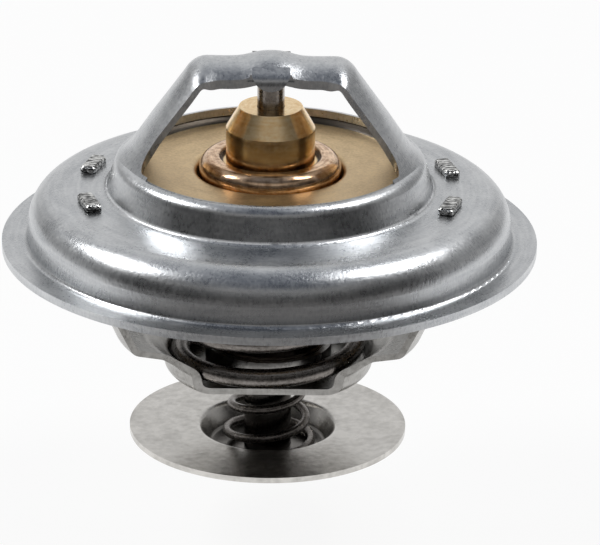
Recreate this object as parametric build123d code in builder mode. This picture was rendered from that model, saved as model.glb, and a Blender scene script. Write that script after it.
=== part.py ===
from build123d import *
from math import asin, atan2, cos, degrees, hypot, pi, radians, sin, sqrt, tan
import os

# Engine thermostat, closed and cold, in millimetres.
# Z runs up the axis of the valve. Z = 0 is the top face of the flat flange, at its centre.
# The bridge lies along X.

# Printed sizes
flange_diameter = 67.0
bypass_diameter = 35.0
flange_to_bypass = 26.0

# Upper frame: flange, shoulder, seat ring and bridge, pressed from one sheet
flange_sheet = 1.0
lip_width = 3.15
wall_lean = 0.06
wall_bend = 0.6
shoulder_bend = 4.1
shoulder_height = 6.25
shoulder_width = 9.85
shoulder_rise_height = 0.41
groove_bend = 0.8
ring_height = 4.29
ring_width = 1.4
crest_bend = 1.5
crest_width = 1.2
opening_corner = 1.4

# Bridge, its distances measured inwards from the crest of the ring
bridge_sheet = 0.8
bridge_height = 23.7
bridge_bend = 3.4
leg_slope = 55.6
leg_foot_slope = 42.0
leg_foot_length = 1.9
leg_foot_bend = 6.8
bridge_slices = 48
bar_arch_radius = 6.0
bar_trim_width = 1.2
leg_arch_radius = 21.0
foot_trim_width = 2.05
arch_start_distance = 13.1
arch_end_distance = 4.1
bar_half_width = 4.0
bar_distance = 12.3
elbow_half_width = 5.3
elbow_distance = 9.2
foot_half_width = 7.65
bar_plan_bend = 4.0
leg_plan_bend = 12.0

# Boss over the pin, and the tongues bent down beside it
boss_height = 0.75
boss_half_length = 4.0
boss_crown_half_length = 1.2
boss_bend = 8.0
socket_depth = 0.3
tongue_root_width = 4.75
tongue_tip_width = 3.5
tongue_drop_height = 2.72
tongue_bow_height = 0.82
tongue_taper_height = 1.0
tongue_start_distance = 3.0
tongue_start_depth = 0.05
tongue_step_width = 0.9
tongue_corner_depth = 1.85
tongue_bend = 1.6
notch_width = 1.1
notch_height = 1.1
notch_depth = 0.3
notch_foot_depth = 1.7

# Lower frame: dish and two arms, pressed from one sheet
cage_sheet = 0.8
cage_half_width = 9.3
cage_floor_height = -17.55
cage_spring_gap = 1.0
cage_taper_width = 0.35
cage_floor_bend = 1.5
cage_wall_depth = 2.6
cage_ledge_width = 2.65
cage_ledge_depth = 1.95
cage_shelf_width = 3.2
cage_shelf_depth = 0.5
cage_bend = 1.2
arm_inset_width = 6.65
arm_knee_height = -2.5
arm_knee_bend = 6.0
collar_height = 3.7
collar_bend = 0.6
tab_width = 4.3
tab_inset_width = 0.4
stake_side_width = 0.3
stake_lap_width = 0.6
stake_height = 0.8
stake_corner = 0.5
stake_edge = 0.25

# Valve plate
plate_sheet = 0.7
plate_drop_height = 0.6
plate_lap_width = 0.2
plate_rim_width = 0.9
plate_rim_bend = 1.2
well_gap = 0.33
well_taper_width = 0.2
well_depth = 2.25
well_bend = 0.9
well_foot_bend = 0.3

# Wax element
cup_radius = 7.1
cup_wall = 0.8
cup_recess_depth = 1.95
cup_bottom_bend = 1.8
cup_floor_thickness = 1.0
rim_width = 1.77
rim_height = 3.95
rim_sheet = 0.75
rim_roll_bend = 1.6
rim_foot_bend = 0.9
rim_mouth_gap = 0.75
rim_lip_bend = 0.3
stem_radius = 2.95
stem_tail_length = 0.88
stem_end_bend = 0.5
stem_root_bend = 0.3
stem_groove_depth = 0.55
guide_radius = 5.55
guide_height = 3.64
nose_radius = 3.96
nose_height = 2.76
boot_flange_thickness = 0.9
boot_radius = 3.1
boot_end_thickness = 1.3
washer_radius = 3.0
washer_thickness = 1.0
pin_diameter = 3.4
pin_length = 31.9
pin_taper_width = 0.7

# Springs
main_wire = 2.4
main_spring_gap = 0.05
main_turns = 5.5
main_start = 47.0
bypass_wire = 1.1
bypass_spring_gap = 0.55
bypass_foot_gap = 0.95
bypass_turns = 4.0
bypass_start = 249.0
points_per_turn = 12

# Bypass plate
bypass_sheet = 0.7
dish_radius = 8.6
dish_floor_radius = 7.3
dish_depth = 2.7
dish_bend = 0.8
dish_foot_bend = 0.5

# Retaining ring of the stem
clip_width = 1.45
clip_thickness = 0.8
clip_gap = 50.0

# Clearances
running_gap = 0.05
seat_gap = 0.02
fit_gap = 0.02
slot_gap = 0.06


def beside(corners, distance):
    """Corners of the line that runs at a distance to the right of a line of corners."""
    lines = []
    for (x0, z0), (x1, z1) in zip(corners, corners[1:]):
        length = hypot(x1 - x0, z1 - z0)
        right = ((z1 - z0) / length, -(x1 - x0) / length)
        lines.append((right, right[0] * x0 + right[1] * z0 + distance))
    first, last = lines[0][0], lines[-1][0]
    result = [(corners[0][0] + first[0] * distance, corners[0][1] + first[1] * distance)]
    for ((a, b), c), ((d, e), f) in zip(lines, lines[1:]):
        span = a * e - b * d
        result.append(((c * e - b * f) / span, (a * f - c * d) / span))
    result.append((corners[-1][0] + last[0] * distance, corners[-1][1] + last[1] * distance))
    return result


def far_bends(corners, bends, sheet):
    """Bend radii of the far side of the sheet: wider outside a bend, tighter inside it."""
    result = []
    for (x0, z0), (x1, z1), (x2, z2), bend in zip(corners, corners[1:], corners[2:], bends):
        turn = (x1 - x0) * (z2 - z1) - (z1 - z0) * (x2 - x1)
        result.append(max(bend + sheet if turn > 0 else bend - sheet, 0.0))
    return result


def pressed_section(corners, bends, sheet, plane=Plane.XZ):
    """Section of a pressing, with the sheet to the right of its line of corners."""
    far_side = beside(corners, sheet)
    with BuildSketch(plane) as section:
        with BuildLine():
            FilletPolyline(*corners, radius=bends)
            FilletPolyline(*far_side, radius=far_bends(corners, bends, sheet))
            Line(corners[0], far_side[0])
            Line(corners[-1], far_side[-1])
        make_face()
    return section.sketch


def turned_section(corners, bends):
    """Half section of a turned or moulded piece in the XZ plane, from its closed outline."""
    with BuildSketch(Plane.XZ) as section:
        with BuildLine():
            FilletPolyline(*corners, radius=bends, close=True)
        make_face()
    return section.sketch


def coil_path(coil, foot, height, turns, start):
    """Centre line of a spring with closed ends: the pitch grows over the first turn and dies in the last."""
    pitch = height / (turns - 1)
    points = []
    for step in range(int(turns * points_per_turn) + 1):
        turn = step / points_per_turn
        if turn < 1:
            rise = pitch * turn * turn / 2
        elif turn > turns - 1:
            rise = height - pitch * (turns - turn) ** 2 / 2
        else:
            rise = pitch * (turn - 0.5)
        angle = radians(start) + 2 * pi * turn
        radius = coil(turn / turns)
        points.append((radius * cos(angle), radius * sin(angle), foot + rise))
    return points


def tab_plan(height, grow):
    """Plan of the four tabs, or of their slots where it grows by a gap."""
    with BuildSketch(Plane.XY.offset(height)) as plan:
        with GridLocations(0, 2 * tab_half_spacing, 1, 2):
            Rectangle(3 * arm_radius, tab_width + 2 * grow)
        Circle(arm_radius + grow, mode=Mode.INTERSECT)
        Circle(arm_radius - cage_sheet - grow, mode=Mode.SUBTRACT)
    return plan.sketch


# Radii and heights that follow from the sizes above, from the flange to the ring that holds the seat
wall_radius = flange_diameter / 2 - lip_width
wall_top_radius = wall_radius - wall_lean * shoulder_height
groove_radius = wall_radius - shoulder_width
groove_height = shoulder_height + shoulder_rise_height
crest_radius = groove_radius - ring_width
crest_height = groove_height + ring_height
opening_radius = crest_radius - crest_width
seat_height = crest_height - flange_sheet

# The foot of a leg leaves the rounded crest where the crest has the slope of the foot
crest_fall = atan2(crest_height - groove_height, groove_radius - crest_radius)
crest_centre = crest_radius - crest_bend * tan(crest_fall / 2)
leg_foot_radius = crest_centre + crest_bend * sin(radians(leg_foot_slope))
leg_foot_height = crest_height - crest_bend * (1 - cos(radians(leg_foot_slope)))

# Boss, socket and tongues
boss_top = bridge_height + boss_height
arch_centre = boss_top - bar_arch_radius
socket_roof = boss_top - bridge_sheet + socket_depth
tongue_end = bridge_height - tongue_drop_height
tongue_face = bar_half_width + tongue_step_width

# Wax element, hung from the valve plate
plate_height = seat_height - plate_drop_height
plate_underside = plate_height - plate_sheet
well_floor = plate_height - well_depth
rim_radius = cup_radius + rim_width
rim_inside = rim_radius - rim_sheet
rim_mouth = guide_radius + rim_mouth_gap
rim_top = well_floor + rim_height
rim_ceiling = rim_top - rim_sheet
rim_roll_inside = rim_roll_bend - rim_sheet
rim_mouth_bend = min(rim_lip_bend, (rim_radius - rim_mouth - rim_roll_bend) / 2)
rim_floor = well_floor + rim_sheet
well_radius = rim_radius + well_gap
guide_foot = rim_floor + boot_flange_thickness
guide_shoulder = rim_top + guide_height
guide_top = guide_shoulder + nose_height
cup_bottom = cage_floor_height + cup_recess_depth
cup_inside = cup_radius - cup_wall
cup_inside_floor = cup_bottom + cup_floor_thickness
hole_radius = cup_radius + running_gap
pin_radius = pin_diameter / 2
bore_radius = pin_radius + running_gap
pin_top = socket_roof - fit_gap
pin_foot = pin_top - pin_length

# Main spring round the well of the valve plate, and the cage round the spring
main_coil_radius = well_radius + plate_sheet + main_wire / 2 + main_spring_gap
cage_floor = cage_floor_height + cage_sheet
cage_wall_radius = main_coil_radius + main_wire / 2 + cage_spring_gap
cage_floor_radius = cage_wall_radius - cage_taper_width
cage_wall_height = cage_floor_height + cage_wall_depth
cage_ledge_radius = cage_wall_radius + cage_ledge_width
cage_ledge_height = cage_wall_height + cage_ledge_depth
cage_shelf_radius = cage_ledge_radius + cage_shelf_width
cage_shelf_height = cage_ledge_height + cage_shelf_depth
arm_radius = wall_radius - arm_inset_width
tab_foot = shoulder_height - flange_sheet
tab_half_spacing = cage_half_width - tab_width / 2 - tab_inset_width
tab_radius = sqrt((arm_radius - cage_sheet / 2) ** 2 - tab_half_spacing**2)
tab_angle = degrees(atan2(tab_half_spacing, tab_radius))
stake_depth = cage_sheet + 2 * stake_lap_width
stake_width = tab_width + 2 * stake_side_width
shoulder_slope = shoulder_rise_height / (wall_top_radius - groove_radius)
stake_foot = groove_height - shoulder_slope * (arm_radius - stake_depth - groove_radius) + fit_gap

# Bypass plate on the stem of the cup, with its spring and ring
bypass_top = -flange_to_bypass + bypass_sheet
dish_floor = bypass_top - dish_depth
dish_underside = dish_floor - bypass_sheet
clip_top = dish_underside - fit_gap
clip_foot = clip_top - clip_thickness
clip_radius = stem_radius + clip_width
stem_end = clip_foot - stem_tail_length
bypass_top_radius = stem_radius + bypass_wire / 2 + bypass_spring_gap
bypass_foot_radius = dish_floor_radius - bypass_wire / 2 - bypass_foot_gap

os.makedirs("parts", exist_ok=True)

# Upper frame
upper_corners = [
    (opening_radius, crest_height),
    (crest_radius, crest_height),
    (groove_radius, groove_height),
    (wall_top_radius, shoulder_height),
    (wall_radius, 0.0),
    (flange_diameter / 2, 0.0),
]
upper_bends = [crest_bend, groove_bend, shoulder_bend, wall_bend]

# Ridge of the bridge: up one leg, along the bar, over the boss and down the other, out on to the crest
foot_bend_x = leg_foot_radius - leg_foot_length * cos(radians(leg_foot_slope))
foot_bend_z = leg_foot_height + leg_foot_length * sin(radians(leg_foot_slope))
leg_run = (bridge_height - foot_bend_z) / tan(radians(leg_slope))
ridge_corners = [
    (boss_crown_half_length, boss_top),
    (boss_half_length, bridge_height),
    (foot_bend_x - leg_run, bridge_height),
    (foot_bend_x, foot_bend_z),
    (leg_foot_radius, leg_foot_height),
]
ridge_bends = [boss_bend, boss_bend, bridge_bend, leg_foot_bend]
with BuildLine(Plane.XZ) as ridge:
    other_side = [(-x, z) for x, z in reversed(ridge_corners)]
    FilletPolyline(*other_side, *ridge_corners, radius=[*reversed(ridge_bends), *ridge_bends])

arch_start = crest_radius - arch_start_distance
arch_end = crest_radius - arch_end_distance
bar_blank = bar_half_width + bar_trim_width
foot_blank = foot_half_width + foot_trim_width


def bridge_slice(place, along):
    """Cross-section of the bridge, square to its ridge: an arched strip that flattens towards the foot."""
    share = min(max((abs(place.X) - arch_start) / (arch_end - arch_start), 0.0), 1.0)
    arch = bar_arch_radius + (leg_arch_radius - bar_arch_radius) * share**2
    half_width = bar_blank + (foot_blank - bar_blank) * share
    turn = asin(half_width / arch)
    outer_end = (arch * sin(turn), arch * cos(turn) - arch)
    inner_end = ((arch - bridge_sheet) * sin(turn), (arch - bridge_sheet) * cos(turn) - arch)
    with BuildSketch(Plane(origin=place, x_dir=(0, 1, 0), z_dir=along)) as strip:
        with BuildLine():
            ThreePointArc((-outer_end[0], outer_end[1]), (0, 0), outer_end)
            ThreePointArc((-inner_end[0], inner_end[1]), (0, -bridge_sheet), inner_end)
            Line(outer_end, inner_end)
            Line((-outer_end[0], outer_end[1]), (-inner_end[0], inner_end[1]))
        make_face()
    return strip.sketch


with BuildPart() as bridge:
    ridge_line = ridge.wires()[0]
    for step in range(bridge_slices + 1):
        share = step / bridge_slices
        add(bridge_slice(ridge_line.position_at(share), ridge_line.tangent_at(share)))
    loft()
    with BuildSketch(Plane.XY.offset(seat_height)):
        Circle(leg_foot_radius)
    extrude(amount=2 * bridge_height, mode=Mode.INTERSECT)

# Plan of the bridge: bar, elbows and legs that widen to their feet
plan_corners = [
    (0.0, bar_half_width),
    (crest_radius - bar_distance, bar_half_width),
    (crest_radius - elbow_distance, elbow_half_width),
    (crest_radius, foot_half_width),
]
with BuildSketch(Plane.XY.offset(seat_height - flange_sheet)) as windows:
    Circle(opening_radius)
    with BuildLine():
        FilletPolyline(*plan_corners, radius=[bar_plan_bend, leg_plan_bend])
        Line((crest_radius, foot_half_width), (crest_radius, 0))
        mirror(about=Plane.XZ)
        mirror(about=Plane.YZ)
    make_face(mode=Mode.SUBTRACT)
    corners = windows.vertices().filter_by(lambda v: hypot(v.X, v.Y) > opening_radius - fit_gap)
    fillet(corners, radius=opening_corner)

# Tongues: the sheet of the bar runs on at both edges, bends down in front of them and ends in a round tip
tongue_start = arch_centre + sqrt(bar_arch_radius**2 - tongue_start_distance**2) - tongue_start_depth
tongue_corners = [
    (tongue_start_distance, tongue_start),
    (tongue_face, boss_top - tongue_corner_depth),
    (tongue_face, tongue_end),
]
bent_edge = pressed_section(tongue_corners, [tongue_bend], bridge_sheet, Plane.YZ)
with BuildPart() as tongues:
    extrude(bent_edge, amount=tongue_root_width / 2, dir=(1, 0, 0), both=True)
    mirror(about=Plane.XZ)
    with BuildSketch(Plane.XZ):
        with BuildLine():
            tip_side = (tongue_tip_width / 2, tongue_end + tongue_bow_height)
            root_side = (tongue_root_width / 2, tongue_end + tongue_bow_height + tongue_taper_height)
            root_top = (tongue_root_width / 2, boss_top)
            Polyline((0, boss_top), root_top, root_side, tip_side)
            mirror(about=Plane.YZ)
            ThreePointArc(tip_side, (0, tongue_end), (-tip_side[0], tip_side[1]))
        make_face()
    extrude(amount=2 * tongue_face, both=True, mode=Mode.INTERSECT)

# Shallow relief notches in the edges of the bar, one on each side of a tongue
notch_apex = tongue_root_width / 2
notch_foot = bridge_height - notch_foot_depth
with BuildPart() as notches:
    with BuildSketch(Plane.XZ):
        with BuildLine():
            Polyline(
                (notch_apex - notch_width / 2, notch_foot),
                (notch_apex, notch_foot + notch_height),
                (notch_apex + notch_width / 2, notch_foot),
                close=True,
            )
        make_face()
        mirror(about=Plane.YZ)
    extrude(amount=tongue_face, both=True)
    Box(4 * tongue_root_width, 2 * (bar_half_width - notch_depth), 3 * bridge_height, mode=Mode.SUBTRACT)

with BuildPart() as upper_frame:
    add(pressed_section(upper_corners, upper_bends, flange_sheet))
    revolve(axis=Axis.Z)
    add(bridge.part)
    extrude(windows.sketch, amount=2 * bridge_height, mode=Mode.SUBTRACT)
    add(notches.part, mode=Mode.SUBTRACT)
    add(tongues.part)
    extrude(tab_plan(0.0, slot_gap), amount=crest_height, mode=Mode.SUBTRACT)
    with BuildSketch(Plane.XY.offset(tongue_end)):
        Circle(bore_radius)
    extrude(amount=socket_roof - tongue_end, mode=Mode.SUBTRACT)
upper_frame.part.label = "upper_frame"
export_step(upper_frame.part, "parts/upper_frame.step")

# Lower frame, drawn from the tops of the arms down to the collar round the cup
cage_corners = [
    (arm_radius, tab_foot),
    (arm_radius, arm_knee_height),
    (cage_shelf_radius, cage_shelf_height),
    (cage_ledge_radius, cage_ledge_height),
    (cage_wall_radius, cage_wall_height),
    (cage_floor_radius, cage_floor_height),
    (hole_radius, cage_floor_height),
    (hole_radius, cage_floor_height + collar_height),
]
cage_bends = [arm_knee_bend, cage_bend, cage_bend, cage_bend, cage_floor_bend, collar_bend]
with BuildPart() as lower_frame:
    add(pressed_section(cage_corners, cage_bends, cage_sheet))
    revolve(axis=Axis.Z)
    with BuildSketch(Plane.XY.offset(cage_floor_height)):
        Rectangle(3 * arm_radius, 2 * cage_half_width)
    extrude(amount=tab_foot - cage_floor_height, mode=Mode.INTERSECT)
    extrude(tab_plan(arm_knee_height / 2, 0.0), amount=stake_foot - arm_knee_height / 2)
    for side in (-tab_angle, tab_angle, 180 - tab_angle, 180 + tab_angle):
        with BuildSketch(Plane.XY.offset(stake_foot)):
            with PolarLocations(arm_radius - cage_sheet / 2, 1, start_angle=side):
                RectangleRounded(stake_depth, stake_width, stake_corner)
        extrude(amount=stake_height)
    chamfer(lower_frame.faces().sort_by(Axis.Z)[-4:].edges(), length=stake_edge)
lower_frame.part.label = "lower_frame"
export_step(lower_frame.part, "parts/lower_frame.step")

# Valve plate, drawn from the hole outwards, its rim just outside the opening
plate_radius = opening_radius + plate_lap_width
plate_corners = [
    (hole_radius, well_floor),
    (well_radius - well_taper_width, well_floor),
    (well_radius, plate_height),
    (plate_radius - plate_rim_width, plate_height),
    (plate_radius, seat_height - seat_gap),
]
with BuildPart() as valve_plate:
    add(pressed_section(plate_corners, [well_foot_bend, well_bend, plate_rim_bend], plate_sheet))
    revolve(axis=Axis.Z)
valve_plate.part.label = "valve_plate"
export_step(valve_plate.part, "parts/valve_plate.step")

# Cup of the wax element: its rim is rolled over the flange of the guide, its stem carries the bypass plate
cup_outline = [
    (0.0, stem_end),
    (stem_radius, stem_end),
    (stem_radius, cup_bottom),
    (cup_radius, cup_bottom),
    (cup_radius, well_floor),
    (rim_radius, well_floor),
    (rim_radius, rim_top),
    (rim_mouth, rim_top),
    (rim_mouth, rim_ceiling),
    (rim_inside, rim_ceiling),
    (rim_inside, rim_floor),
    (cup_inside, rim_floor),
    (cup_inside, cup_inside_floor),
    (0.0, cup_inside_floor),
]
cup_bends = [0, stem_end_bend, stem_root_bend, cup_bottom_bend, fit_gap, rim_foot_bend, rim_roll_bend]
cup_bends += [rim_mouth_bend, 0, rim_roll_inside, 0, rim_lip_bend, cup_bottom_bend - cup_wall, 0]
with BuildPart() as wax_cup:
    add(turned_section(cup_outline, cup_bends))
    revolve(axis=Axis.Z)
    with BuildSketch(Plane.XY.offset(clip_foot - fit_gap)):
        Circle(2 * stem_radius)
        Circle(stem_radius - stem_groove_depth, mode=Mode.SUBTRACT)
    extrude(amount=clip_thickness + 2 * fit_gap, mode=Mode.SUBTRACT)
wax_cup.part.label = "wax_cup"
export_step(wax_cup.part, "parts/wax_cup.step")

# Guide of the pin, turned from bar, with a recess for the washer in its foot
washer_top = guide_foot + washer_thickness
guide_outline = [
    (washer_radius + fit_gap, guide_foot),
    (rim_inside - fit_gap, guide_foot),
    (rim_inside - fit_gap, rim_ceiling),
    (guide_radius, rim_ceiling),
    (guide_radius, guide_shoulder),
    (nose_radius, guide_top),
    (bore_radius, guide_top),
    (bore_radius, washer_top),
    (washer_radius + fit_gap, washer_top),
]
with BuildPart() as guide:
    add(turned_section(guide_outline, [0, 0, rim_roll_inside, 0, 0, 0, 0, 0, 0]))
    revolve(axis=Axis.Z)
guide.part.label = "guide"
export_step(guide.part, "parts/guide.step")

with BuildPart() as chafe_washer:
    with BuildSketch(Plane.XY.offset(guide_foot)):
        Circle(washer_radius)
        Circle(bore_radius, mode=Mode.SUBTRACT)
    extrude(amount=washer_thickness)
chafe_washer.part.label = "chafe_washer"
export_step(chafe_washer.part, "parts/chafe_washer.step")

# Rubber boot: a flange under the guide and a blind sleeve round the pin
boot_foot = pin_foot - running_gap - boot_end_thickness
boot_outline = [
    (0.0, boot_foot),
    (boot_radius, boot_foot),
    (boot_radius, rim_floor),
    (rim_inside - fit_gap, rim_floor),
    (rim_inside - fit_gap, guide_foot),
    (bore_radius, guide_foot),
    (bore_radius, boot_foot + boot_end_thickness),
    (0.0, boot_foot + boot_end_thickness),
]
with BuildPart() as rubber_boot:
    add(turned_section(boot_outline, [0, boot_end_thickness, 0, 0, 0, 0, 0, 0]))
    revolve(axis=Axis.Z)
rubber_boot.part.label = "rubber_boot"
export_step(rubber_boot.part, "parts/rubber_boot.step")

# Wax, all round the sleeve of the boot
wax_radius = cup_inside - fit_gap
wax_foot = cup_inside_floor + fit_gap
with BuildPart() as wax_charge:
    with BuildSketch(Plane.XY.offset(wax_foot)):
        Circle(wax_radius)
    extrude(amount=rim_floor - fit_gap - wax_foot)
    fillet(wax_charge.edges().sort_by(Axis.Z)[0], radius=cup_bottom_bend - cup_wall)
    with BuildSketch(Plane.XY.offset(boot_foot - fit_gap)):
        Circle(boot_radius + fit_gap)
    extrude(amount=rim_floor - boot_foot, mode=Mode.SUBTRACT)
wax_charge.part.label = "wax_charge"
export_step(wax_charge.part, "parts/wax_charge.step")

with BuildPart() as piston_pin:
    with BuildSketch(Plane.XY.offset(pin_foot)):
        Circle(pin_radius)
    extrude(amount=pin_length)
    chamfer(piston_pin.edges().group_by(Axis.Z)[0], length=pin_taper_width / 2)
    chamfer(piston_pin.edges().group_by(Axis.Z)[-1], length=pin_taper_width)
piston_pin.part.label = "piston_pin"
export_step(piston_pin.part, "parts/piston_pin.step")

# Springs of round wire with closed ends
main_foot = cage_floor + main_wire / 2
main_height = plate_underside - main_wire / 2 - main_foot
main_line = Spline(*coil_path(lambda share: main_coil_radius, main_foot, main_height, main_turns, main_start))
with BuildPart() as main_spring:
    with BuildSketch(Plane(origin=main_line @ 0, z_dir=main_line % 0)):
        Circle(main_wire / 2)
    sweep(path=main_line, is_frenet=True)
main_spring.part.label = "main_spring"
export_step(main_spring.part, "parts/main_spring.step")


def bypass_coil(share):
    """Radius of the conical spring: nearly straight at the cup, spread on the dish."""
    return bypass_top_radius + (bypass_foot_radius - bypass_top_radius) * (1 - share) ** 2


light_foot = dish_floor + bypass_wire / 2
light_height = cup_bottom - bypass_wire / 2 - light_foot
light_line = Spline(*coil_path(bypass_coil, light_foot, light_height, bypass_turns, bypass_start))
with BuildPart() as bypass_spring:
    with BuildSketch(Plane(origin=light_line @ 0, z_dir=light_line % 0)):
        Circle(bypass_wire / 2)
    sweep(path=light_line, is_frenet=True)
bypass_spring.part.label = "bypass_spring"
export_step(bypass_spring.part, "parts/bypass_spring.step")

# Bypass plate, drawn from the hole outwards
bypass_corners = [
    (stem_radius + running_gap, dish_floor),
    (dish_floor_radius, dish_floor),
    (dish_radius, bypass_top),
    (bypass_diameter / 2, bypass_top),
]
with BuildPart() as bypass_plate:
    add(pressed_section(bypass_corners, [dish_foot_bend, dish_bend], bypass_sheet))
    revolve(axis=Axis.Z)
bypass_plate.part.label = "bypass_plate"
export_step(bypass_plate.part, "parts/bypass_plate.step")

# Open retaining ring in the groove of the stem
with BuildPart() as stem_clip:
    with BuildSketch(Plane.XY.offset(clip_foot)):
        Circle(clip_radius)
        Circle(stem_radius - stem_groove_depth + fit_gap, mode=Mode.SUBTRACT)
        with BuildLine():
            mouth = 2 * clip_radius * sin(radians(clip_gap / 2))
            Polyline((0, 0), (2 * clip_radius, mouth), (2 * clip_radius, -mouth), close=True)
        make_face(mode=Mode.SUBTRACT)
    extrude(amount=clip_thickness)
stem_clip.part.label = "stem_clip"
export_step(stem_clip.part, "parts/stem_clip.step")
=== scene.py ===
# Engine thermostat on a white table: zinc-plated pressings, brass plate and guide, copper wax cup, dark springs
import bpy
import math
from mathutils import Matrix, Vector


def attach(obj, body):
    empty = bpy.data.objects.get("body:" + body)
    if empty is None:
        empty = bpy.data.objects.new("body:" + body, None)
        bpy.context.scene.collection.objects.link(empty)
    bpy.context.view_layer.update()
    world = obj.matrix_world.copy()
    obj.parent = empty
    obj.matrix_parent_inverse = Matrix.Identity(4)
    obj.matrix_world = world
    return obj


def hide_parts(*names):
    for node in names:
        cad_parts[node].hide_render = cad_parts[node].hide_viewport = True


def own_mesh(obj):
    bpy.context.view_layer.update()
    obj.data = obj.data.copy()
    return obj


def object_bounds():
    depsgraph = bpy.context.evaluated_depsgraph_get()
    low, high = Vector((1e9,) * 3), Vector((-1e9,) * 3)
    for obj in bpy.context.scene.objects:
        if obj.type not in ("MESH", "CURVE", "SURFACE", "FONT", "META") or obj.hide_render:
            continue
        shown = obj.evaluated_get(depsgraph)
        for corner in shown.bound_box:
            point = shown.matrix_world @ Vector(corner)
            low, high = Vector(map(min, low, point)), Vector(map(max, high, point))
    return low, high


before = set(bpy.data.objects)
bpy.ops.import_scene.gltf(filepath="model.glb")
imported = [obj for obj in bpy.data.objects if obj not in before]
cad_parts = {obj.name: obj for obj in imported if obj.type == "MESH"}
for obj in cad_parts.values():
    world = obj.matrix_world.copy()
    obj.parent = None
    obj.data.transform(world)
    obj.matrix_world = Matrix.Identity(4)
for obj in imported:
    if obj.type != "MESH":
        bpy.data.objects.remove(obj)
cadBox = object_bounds()
mm = 0.001
print("frame loaded:", len(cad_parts), "nodes")

# camera: the photograph's place, aim and lens
camera = {
    "elevation": 21.18,
    "distance": 0.67033,
    "focalPixels": 5348.3,
    "imageWidth": 600,
    "imageHeight": 545,
    "originX": 269.5,       # where the flange's centre falls in the picture
    "originY": 236.9,
    "roll": 0.6,
    "sensor": 36.0,
    "clip": (0.05, 20),
}


def placeCamera(c):
    elevation = math.radians(c["elevation"])
    away = Vector((0, -math.cos(elevation), math.sin(elevation)))
    data = bpy.data.cameras.new("camera")
    data.sensor_width = c["sensor"]
    data.lens = c["focalPixels"] / c["imageWidth"] * c["sensor"]
    data.clip_start, data.clip_end = c["clip"]
    cam = bpy.data.objects.new("camera", data)
    bpy.context.scene.collection.objects.link(cam)
    aim = away.to_track_quat("Z", "Y").to_matrix()
    roll = Matrix.Rotation(math.radians(c["roll"]), 3, "Z")
    right = Matrix.Rotation(-(c["imageWidth"] / 2 - c["originX"]) / c["focalPixels"], 3, "Y")
    down = Matrix.Rotation(-(c["imageHeight"] / 2 - c["originY"]) / c["focalPixels"], 3, "X")
    cam.matrix_world = Matrix.Translation(away * c["distance"]) @ (aim @ roll @ right @ down).to_4x4()
    bpy.context.scene.camera = cam


placeCamera(camera)
bpy.context.scene.view_settings.view_transform = "Standard"
print("camera placed")


# small helpers for building node trees
def addNode(tree, kind, **settings):
    node = tree.nodes.new("ShaderNode" + kind)
    for name, value in settings.items():
        setattr(node, name, value)
    return node


def feed(tree, socket, value):
    if isinstance(value, bpy.types.NodeSocket):
        tree.links.new(value, socket)
    elif value is not None:
        socket.default_value = value


def doMath(tree, operation, first, second=None):
    node = addNode(tree, "Math", operation=operation)
    feed(tree, node.inputs[0], first)
    feed(tree, node.inputs[1], second)
    return node.outputs[0]


def splitVector(tree, vector):
    node = addNode(tree, "SeparateXYZ")
    feed(tree, node.inputs[0], vector)
    return node.outputs


def stretchCoords(tree, vector, scale):
    node = addNode(tree, "Mapping")
    feed(tree, node.inputs["Vector"], vector)
    feed(tree, node.inputs["Scale"], scale)
    return node.outputs[0]


def blendStep(tree, value, low, high):
    node = addNode(tree, "MapRange", interpolation_type="SMOOTHSTEP")
    feed(tree, node.inputs["Value"], value)
    feed(tree, node.inputs["From Min"], low)
    feed(tree, node.inputs["From Max"], high)
    return node.outputs[0]


def colourRamp(tree, source, stops):
    node = addNode(tree, "ValToRGB")
    feed(tree, node.inputs[0], source)
    stops = list(stops)
    elements = node.color_ramp.elements
    while len(elements) < len(stops):
        elements.new(1.0)
    for element, (place, colour) in zip(elements, stops):
        element.position = place
        element.color = opaque(colour)
    return node.outputs[0]


def mixColour(tree, share, first, second, blend="MIX"):
    node = addNode(tree, "Mix", data_type="RGBA", blend_type=blend)
    feed(tree, node.inputs[0], share)
    feed(tree, node.inputs[6], first)
    feed(tree, node.inputs[7], second)
    return node.outputs[2]


def opaque(colour):
    return (*colour, 1)


def grey(value):
    return (value, value, value)


# stage: a table that is white round the valve and dark in front, outside the picture,
# a room that is light low behind and dark overhead and in front, and two soft boxes
stageLook = {
    "floorHeight": cadBox[0].z - 8.5 * mm,      # the open valve's bypass plate stays clear of it
    "floorSize": 3.0,
    "floorCells": 8,
    "floorRoughness": 0.7,
    "floorWhite": grey(0.86),
    "floorFront": (0.25, 0.237, 0.227),
    "frontEdge": (-110 * mm, -35 * mm),         # the table darkens between these, towards the front
    "shadowShare": 0.1,                         # how much of the table's white takes the shadow
    "backRamp": [
        (0.0, grey(0.8)), (0.36, grey(0.76)), (0.62, grey(0.78)), (0.8, (0.66, 0.67, 0.68)),
        (0.92, (0.42, 0.435, 0.465)), (0.98, (0.13, 0.145, 0.175)), (1.0, (0.1, 0.115, 0.145)),
    ],
    "frontRamp": [
        (0.0, (0.05, 0.047, 0.045)), (0.42, grey(0.12)), (0.6, (0.42, 0.41, 0.4)),
        (0.8, (0.1, 0.11, 0.13)), (1.0, (0.1, 0.115, 0.145)),
    ],
    "backStart": (-0.35, 0.2),
    "sideStart": (0.25, 0.7),
    "sideShade": 0.45,                          # the room's sides, as a share of its back
}


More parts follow.
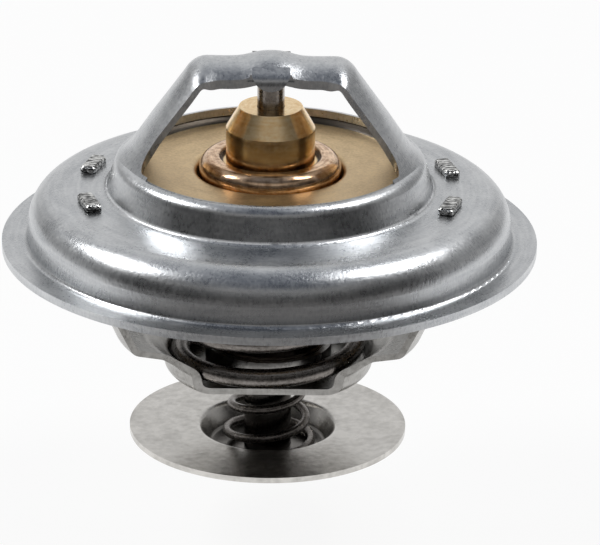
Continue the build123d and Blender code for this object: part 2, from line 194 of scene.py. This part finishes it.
def makeTable(s):
    material = bpy.data.materials.new("whiteTable")
    material.use_nodes = True
    tree = material.node_tree
    shader = tree.nodes["Principled BSDF"]
    feed(tree, shader.inputs["Roughness"], s["floorRoughness"])
    along = splitVector(tree, addNode(tree, "TexCoord").outputs["Object"])["Y"]
    nearBack = blendStep(tree, along, *s["frontEdge"])
    feed(tree, shader.inputs["Base Color"],
         mixColour(tree, nearBack, opaque(s["floorFront"]), opaque(s["floorWhite"])))
    rays = addNode(tree, "LightPath").outputs       # metal shows the same white as the camera
    mirrored = doMath(tree, "MAXIMUM", rays["Is Glossy Ray"], rays["Is Transmission Ray"])
    seen = doMath(tree, "MAXIMUM", rays["Is Camera Ray"], mirrored)
    white = doMath(tree, "MULTIPLY", doMath(tree, "MULTIPLY", seen, nearBack), 1 - s["shadowShare"])
    mix = addNode(tree, "MixShader")
    feed(tree, mix.inputs[0], white)
    feed(tree, mix.inputs[1], shader.outputs[0])
    feed(tree, mix.inputs[2], addNode(tree, "Emission").outputs[0])
    tree.links.new(mix.outputs[0], tree.nodes["Material Output"].inputs[0])
    return material


def makeFloor(s):
    bpy.ops.object.select_all(action="DESELECT")
    bpy.ops.mesh.primitive_grid_add(x_subdivisions=s["floorCells"], y_subdivisions=s["floorCells"],
                                    size=s["floorSize"], location=(0, 0, s["floorHeight"]))
    floor = bpy.context.object
    floor.name = "floor"
    bpy.ops.object.transform_apply(location=True, rotation=True, scale=True)
    floor.data.materials.append(makeTable(s))


def makeWorld(s):
    world = bpy.data.worlds.new("studio")
    bpy.context.scene.world = world
    world.use_nodes = True
    tree = world.node_tree
    sideways, forwards, upwards = splitVector(tree, addNode(tree, "TexCoord").outputs["Generated"])
    back = colourRamp(tree, upwards, s["backRamp"])
    front = colourRamp(tree, upwards, s["frontRamp"])
    room = mixColour(tree, blendStep(tree, forwards, *s["backStart"]), front, back)
    aside = blendStep(tree, doMath(tree, "ABSOLUTE", sideways), *s["sideStart"])
    shade = mixColour(tree, aside, opaque(grey(1)), opaque(grey(s["sideShade"])))
    room = mixColour(tree, 1.0, room, shade, blend="MULTIPLY")
    feed(tree, tree.nodes["Background"].inputs["Color"], room)


softBoxes = {
    "softBoxLeft": {"towards": (-0.68, 0.1, 0.7), "distance": 0.8, "size": (0.3, 0.24), "power": 2.9},
    "softBoxRight": {"towards": (0.5, 0.12, 0.84), "distance": 0.8, "size": (0.32, 0.28), "power": 2.4},
}


def placeSoftBox(name, s):
    data = bpy.data.lights.new(name, "AREA")
    data.shape = "RECTANGLE"
    data.size, data.size_y = s["size"]
    data.energy = s["power"]
    lamp = bpy.data.objects.new(name, data)
    bpy.context.scene.collection.objects.link(lamp)
    towards = Vector(s["towards"]).normalized()
    lamp.location = towards * s["distance"]
    lamp.rotation_euler = towards.to_track_quat("Z", "Y").to_euler()


makeFloor(stageLook)
makeWorld(stageLook)
for boxName, boxValues in softBoxes.items():
    placeSoftBox(boxName, boxValues)
print("stage ready")


# materials
def newMaterial(name, metallic=1.0):
    material = bpy.data.materials.new(name)
    material.use_nodes = True
    tree = material.node_tree
    shader = tree.nodes["Principled BSDF"]
    shader.inputs["Metallic"].default_value = metallic
    return material, tree, shader, addNode(tree, "TexCoord").outputs["Object"]


def noise(tree, vector, size, detail=3.0, roughness=0.55):
    node = addNode(tree, "TexNoise")
    feed(tree, node.inputs["Vector"], vector)
    feed(tree, node.inputs["Scale"], 1 / size)
    feed(tree, node.inputs["Detail"], detail)
    feed(tree, node.inputs["Roughness"], roughness)
    return node.outputs[0]


def axisDistance(tree, vector):
    x, y, _ = splitVector(tree, vector)
    squares = doMath(tree, "ADD", doMath(tree, "MULTIPLY", x, x), doMath(tree, "MULTIPLY", y, y))
    return doMath(tree, "SQRT", squares)


# marks of drawing and turning: narrow across, long round the axis of the valve
roundMarks = {"leastRadius": 0.05 * mm, "detail": 3.0}


def roundStreaks(tree, vector, width, turns):
    x, y, z = splitVector(tree, vector)
    radius = axisDistance(tree, vector)
    safe = doMath(tree, "MAXIMUM", radius, roundMarks["leastRadius"])
    around = addNode(tree, "CombineXYZ")
    feed(tree, around.inputs[0], doMath(tree, "DIVIDE", radius, width))
    feed(tree, around.inputs[1], doMath(tree, "MULTIPLY", doMath(tree, "DIVIDE", x, safe), turns))
    feed(tree, around.inputs[2], doMath(tree, "MULTIPLY", doMath(tree, "DIVIDE", y, safe), turns))
    node = addNode(tree, "TexNoise", noise_dimensions="4D")
    feed(tree, node.inputs["Vector"], around.outputs[0])
    feed(tree, node.inputs["W"], doMath(tree, "DIVIDE", z, width))
    feed(tree, node.inputs["Scale"], 1.0)
    feed(tree, node.inputs["Detail"], roundMarks["detail"])
    return node.outputs[0]


def addBump(tree, shader, height, depth, before=None):
    node = addNode(tree, "Bump")
    feed(tree, node.inputs["Strength"], 1.0)
    feed(tree, node.inputs["Distance"], depth)
    feed(tree, node.inputs["Height"], height)
    feed(tree, node.inputs["Normal"], before)
    tree.links.new(node.outputs[0], shader.inputs["Normal"])
    return node.outputs[0]


noiseSpan = (0.3, 0.7)      # most of a noise lies between these


def setRoughness(tree, shader, source, low, high):
    node = addNode(tree, "MapRange")
    feed(tree, node.inputs["Value"], source)
    feed(tree, node.inputs["From Min"], noiseSpan[0])
    feed(tree, node.inputs["From Max"], noiseSpan[1])
    feed(tree, node.inputs["To Min"], low)
    feed(tree, node.inputs["To Max"], high)
    tree.links.new(node.outputs[0], shader.inputs["Roughness"])


zincSheet = {
    "dark": (0.42, 0.435, 0.455),
    "light": (0.66, 0.67, 0.68),
    "toneSpan": (0.36, 0.62),
    "frostShare": 0.34,             # frost, mottle and streaks in the tone
    "otherShare": 0.33,
    "mottleSize": 4.0 * mm,
    "frostSize": 0.34 * mm,
    "frostScale": (1.0, 1.0, 0.5),  # marks of drawing run up the walls
    "frostDepth": 0.026 * mm,
    "streakWidth": 0.55 * mm,
    "streakTurns": 5.0,
    "streakDepth": 0.01 * mm,
    "roughness": (0.23, 0.36),
    "paintedHighlightRadius": 20.45 * mm,       # painted highlight: the bright line on the fillet at the foot of the ring
    "paintedHighlightWidth": 0.15 * mm,
    "paintedHighlightColour": (0.85, 0.86, 0.87),
    "paintedHighlightPatch": 1.3 * mm,          # the painted highlight comes and goes in patches of this size
    "paintedHighlightPatchSpan": (0.3, 0.48),
    "headHeight": 6.15 * mm,        # above this the staked tabs are torn and ribbed
    "ribSize": 0.3 * mm,
    "ribScale": (0.35, 1.0, 1.0),
    "ribDepth": 0.12 * mm,
    "ribTones": [(0.42, grey(0.05)), (0.6, (0.85, 0.85, 0.83))],
}
zincCage = {**zincSheet, "dark": (0.26, 0.252, 0.238), "light": (0.48, 0.47, 0.45)}


def makeZinc(name, s, tornHeads=False):
    material, tree, shader, place = newMaterial(name)
    mottle = noise(tree, place, s["mottleSize"], detail=5)
    frost = noise(tree, stretchCoords(tree, place, s["frostScale"]), s["frostSize"])
    streak = roundStreaks(tree, place, s["streakWidth"], s["streakTurns"])
    others = doMath(tree, "MULTIPLY", doMath(tree, "ADD", mottle, streak), s["otherShare"])
    tone = doMath(tree, "ADD", doMath(tree, "MULTIPLY", frost, s["frostShare"]), others)
    colour = colourRamp(tree, tone, zip(s["toneSpan"], (s["dark"], s["light"])))
    patches = doMath(tree, "MULTIPLY", doMath(tree, "ADD", frost, mottle), 0.5)
    setRoughness(tree, shader, patches, *s["roughness"])
    normal = addBump(tree, shader, frost, s["frostDepth"])
    normal = addBump(tree, shader, streak, s["streakDepth"], before=normal)
    if tornHeads:
        onHead = doMath(tree, "GREATER_THAN", splitVector(tree, place)["Z"], s["headHeight"])
        rib = noise(tree, stretchCoords(tree, place, s["ribScale"]), s["ribSize"], detail=2)
        colour = mixColour(tree, onHead, colour, colourRamp(tree, rib, s["ribTones"]))
        addBump(tree, shader, doMath(tree, "MULTIPLY", rib, onHead), s["ribDepth"], before=normal)
    else:
        # painted highlight: a bright, less metallic line on the fillet at the ring's foot, broken into patches
        offset = doMath(tree, "ABSOLUTE", doMath(tree, "SUBTRACT", axisDistance(tree, place), s["paintedHighlightRadius"]))
        paintedHighlight = doMath(tree, "SUBTRACT", 1.0, blendStep(tree, offset, 0.0, s["paintedHighlightWidth"]))
        highlightPatches = blendStep(tree, noise(tree, place, s["paintedHighlightPatch"]), *s["paintedHighlightPatchSpan"])
        paintedHighlight = doMath(tree, "MULTIPLY", paintedHighlight, highlightPatches)
        colour = mixColour(tree, paintedHighlight, colour, opaque(s["paintedHighlightColour"]))
        tree.links.new(doMath(tree, "SUBTRACT", 1.0, paintedHighlight), shader.inputs["Metallic"])
    tree.links.new(colour, shader.inputs["Base Color"])
    return material


# width, depth and turns are those of the streaks
turnedMetals = {
    "brassSheet": {
        "dark": (0.54, 0.385, 0.205), "light": (0.75, 0.565, 0.325), "roughness": (0.28, 0.4),
        "width": 1.6 * mm, "depth": 0.01 * mm, "turns": 3.0, "grain": 0.35 * mm, "grainDepth": 0.02 * mm,
        "paintedShadowFrom": 16.8 * mm,      # painted shadow on the plate's edge under the ring
    },
    "turnedBrass": {
        "dark": (0.84, 0.56, 0.26), "light": (1.0, 0.78, 0.47), "roughness": (0.16, 0.25),
        "width": 0.3 * mm, "depth": 0.002 * mm, "turns": 2.0, "grain": 0.6 * mm, "grainDepth": 0.002 * mm,
        "paintedShadowFrom": 5.7 * mm,       # painted shadow on the guide's flange under the collar
    },
    "copperCup": {
        "dark": (0.4, 0.23, 0.12), "light": (0.97, 0.7, 0.48), "roughness": (0.14, 0.24),
        "width": 0.3 * mm, "depth": 0.003 * mm, "turns": 3.0, "grain": 0.8 * mm, "grainDepth": 0.004 * mm,
        "darkBelow": 2.0 * mm,      # the cup and its stem are darker below this height
        "paintedShadeWithin": 6.6 * mm,     # painted shade inside the collar
    },
    "groundPin": {
        "dark": (0.3, 0.26, 0.23), "light": (0.58, 0.54, 0.5), "roughness": (0.22, 0.36),
        "width": 0.1 * mm, "depth": 0.004 * mm, "turns": 2.0, "grain": 0.5 * mm, "grainDepth": 0.003 * mm,
    },
    "springWire": {
        "dark": (0.1, 0.09, 0.082), "light": (0.26, 0.24, 0.225), "roughness": (0.2, 0.36),
        "width": 0.5 * mm, "depth": 0.004 * mm, "turns": 6.0, "grain": 0.4 * mm, "grainDepth": 0.01 * mm,
    },
    "bypassSheet": {
        "dark": (0.48, 0.465, 0.44), "light": (0.7, 0.68, 0.65), "roughness": (0.18, 0.28),
        "width": 2.5 * mm, "depth": 0.008 * mm, "turns": 4.0, "grain": 0.9 * mm, "grainDepth": 0.02 * mm,
        "paintedShadeWithin": 8.4 * mm,     # painted shade in the dish of the bypass plate
    },
}
turnedSpan = (0.36, 0.6)
# tints for painted shadow, painted shade in hollows and a darkening towards the bottom, and how far they fade
tints = {
    "paintedShadowFrom": ((0.06, 0.05, 0.04), 0.3 * mm),
    "darkBelow": ((0.13, 0.105, 0.09), 4.0 * mm),
    "paintedShadeWithin": ((0.16, 0.15, 0.14), 1.5 * mm),
}


def makeTurned(name, s):
    material, tree, shader, place = newMaterial(name)
    streak = roundStreaks(tree, place, s["width"], s["turns"])
    grain = noise(tree, place, s["grain"], detail=4)
    tone = doMath(tree, "MULTIPLY", doMath(tree, "ADD", streak, grain), 0.5)
    colour = colourRamp(tree, tone, zip(turnedSpan, (s["dark"], s["light"])))
    for zone, (tint, fade) in tints.items():
        if zone not in s:
            continue
        where = splitVector(tree, place)["Z"] if zone == "darkBelow" else axisDistance(tree, place)
        # painted shadow: darker outward from the given radius
        if zone == "paintedShadowFrom":
            colour = mixColour(tree, blendStep(tree, where, s[zone], s[zone] + fade), colour, opaque(tint))
        # painted shade in hollows: darker inward from the given radius; the cup also darkens downward from the
        # given height
        else:
            colour = mixColour(tree, blendStep(tree, where, s[zone] - fade, s[zone]), opaque(tint), colour)
    tree.links.new(colour, shader.inputs["Base Color"])
    setRoughness(tree, shader, tone, *s["roughness"])
    normal = addBump(tree, shader, grain, s["grainDepth"])
    addBump(tree, shader, streak, s["depth"], before=normal)
    return material


innerParts = {
    "bootRubber": {"dark": grey(0.02), "light": grey(0.05), "roughness": (0.6, 0.75)},
    "washerPlastic": {"dark": (0.7, 0.69, 0.64), "light": (0.85, 0.84, 0.8), "roughness": (0.4, 0.5)},
    "waxFill": {"dark": (0.5, 0.3, 0.14), "light": (0.75, 0.52, 0.28), "roughness": (0.5, 0.65)},
}
innerSpecks = {"size": 0.5 * mm, "depth": 0.01 * mm, "span": (0.35, 0.65)}


def makeDull(name, s):
    material, tree, shader, place = newMaterial(name, metallic=0.0)
    speck = noise(tree, place, innerSpecks["size"], detail=4)
    colour = colourRamp(tree, speck, zip(innerSpecks["span"], (s["dark"], s["light"])))
    tree.links.new(colour, shader.inputs["Base Color"])
    setRoughness(tree, shader, speck, *s["roughness"])
    addBump(tree, shader, speck, innerSpecks["depth"])
    return material


finish = {
    "zincSheet": makeZinc("zincSheet", zincSheet),
    "zincCage": makeZinc("zincCage", zincCage, tornHeads=True),
}
for metalName, metalValues in turnedMetals.items():
    finish[metalName] = makeTurned(metalName, metalValues)
for dullName, dullValues in innerParts.items():
    finish[dullName] = makeDull(dullName, dullValues)

wears = {
    "upper_frame": "zincSheet", "lower_frame": "zincCage", "bypass_plate": "bypassSheet",
    "valve_plate": "brassSheet", "wax_cup": "copperCup", "guide": "turnedBrass", "piston_pin": "groundPin",
    "main_spring": "springWire", "bypass_spring": "springWire", "stem_clip": "springWire",
    "rubber_boot": "bootRubber", "chafe_washer": "washerPlastic", "wax_charge": "waxFill",
}
for nodeName, finishName in wears.items():
    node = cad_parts[nodeName]
    node.data.materials.clear()
    node.data.materials.append(finish[finishName])
print("materials on", len(wears), "nodes")

# springs: swept wire with closed ends, each hung on its body in place of the CAD spring
springs = {
    "main_coil": {
        "replaces": "main_spring", "body": "frame", "joint": "valve_lift", "travel": 8.0 * mm,
        "anchorHeight": -16.75 * mm, "foot": -15.55 * mm, "height": 23.0 * mm, "wire": 2.4 * mm,
        "radius": 11.15 * mm, "spread": 0.0, "turns": 5.5, "start": 47, "stepsPerTurn": 60,
    },
    "bypass_coil": {
        "replaces": "bypass_spring", "body": "element", "joint": "bypass_slide", "travel": 4.5 * mm,
        "anchorHeight": -15.6 * mm, "foot": -27.45 * mm, "height": 11.3 * mm, "wire": 1.1 * mm,
        "radius": 4.05 * mm, "spread": 1.75 * mm, "turns": 4, "start": 249, "stepsPerTurn": 48,
    },
}
wireMesh = {"roundness": 6, "weld": 0.001 * mm, "smoothAngle": 50}


def coilPoint(s, share):
    turn = share * s["turns"]
    pitch = s["height"] / (s["turns"] - 1)
    if turn < 1:                        # the first and last turns rise slowly, so the ends lie flat
        rise = pitch * turn ** 2 / 2
    elif turn > s["turns"] - 1:
        rise = s["height"] - pitch * (s["turns"] - turn) ** 2 / 2
    else:
        rise = pitch * (turn - 0.5)
    radius = s["radius"] + s["spread"] * (1 - share) ** 2
    angle = math.radians(s["start"]) + math.tau * turn
    return radius * math.cos(angle), radius * math.sin(angle), s["foot"] + rise


def makeSpring(name, s):
    curve = bpy.data.curves.new(name, "CURVE")
    curve.dimensions = "3D"
    curve.bevel_depth = s["wire"] / 2
    curve.bevel_resolution = wireMesh["roundness"]
    curve.use_fill_caps = True
    spline = curve.splines.new("POLY")
    steps = int(s["turns"] * s["stepsPerTurn"])
    spline.points.add(steps)
    for step, point in enumerate(spline.points):
        point.co = (*coilPoint(s, step / steps), 1)
    bpy.ops.object.select_all(action="DESELECT")
    coil = bpy.data.objects.new(name, curve)
    bpy.context.scene.collection.objects.link(coil)
    coil.select_set(True)
    bpy.context.view_layer.objects.active = coil
    bpy.ops.object.convert(target="MESH")
    coil = bpy.context.object
    bpy.ops.object.mode_set(mode="EDIT")
    bpy.ops.mesh.select_all(action="SELECT")
    bpy.ops.mesh.remove_doubles(threshold=wireMesh["weld"])
    bpy.ops.mesh.normals_make_consistent(inside=False)
    bpy.ops.object.mode_set(mode="OBJECT")
    bpy.ops.object.shade_smooth_by_angle(angle=math.radians(wireMesh["smoothAngle"]))
    coil.data.materials.append(finish["springWire"])
    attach(coil, s["body"])
    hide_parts(s["replaces"])
    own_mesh(coil)


for coilName, coilValues in springs.items():
    makeSpring(coilName, coilValues)
print("springs made")
